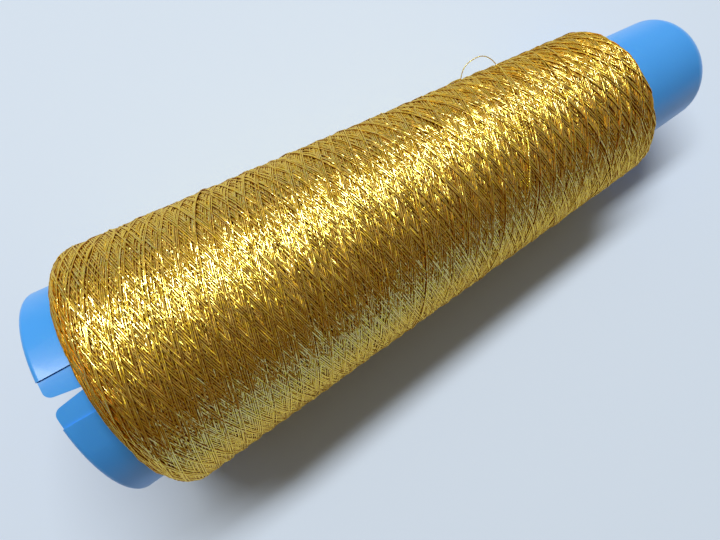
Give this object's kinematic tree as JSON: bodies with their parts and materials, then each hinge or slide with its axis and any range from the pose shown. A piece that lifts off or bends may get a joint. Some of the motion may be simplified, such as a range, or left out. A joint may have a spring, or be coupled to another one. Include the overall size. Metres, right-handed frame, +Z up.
{
  "type": "cone of sewing thread",
  "caption": "Tapered plastic cone tube carrying a cross-wound package of metallic gold embroidery thread, with a thread-catch slot in its base rim and a slack turn standing as a loop.",
  "frame": {"origin": "centre of the tube's base rim, on the plane the cone stands on", "axes": "+Z up the tube's axis from the base rim to the nose; the thread-catch slot faces -Y; +X completes the right-handed frame"},
  "size_m": [0.0474, 0.0474, 0.1396],
  "materials": {
    "blue_tube": "glossy moulded polypropylene",
    "gold_thread": "glittering metallised film wound over a yarn core",
    "gold_film": "mirror-bright metallised polyester film",
    "yarn_core": "matt twisted yarn"
  },
  "bodies": {
    "spool": {"cone_tube": "blue_tube", "starter_turns": "gold_thread", "inner_winding": "gold_thread", "outer_winding": "gold_thread", "slack_strand": "gold_thread"},
    "loose_loop": {"loop_core": "yarn_core", "loop_film": "gold_film"}
  },
  "joints": [
    {"name": "loop_flop", "type": "hinge", "parent": "spool", "child": "loose_loop", "pos_m": [-0.01633, -0.00868, 0.0916], "axis": [0.0762, 0.0049, 0.9971], "range_deg": [-70, 70]}
  ]
}
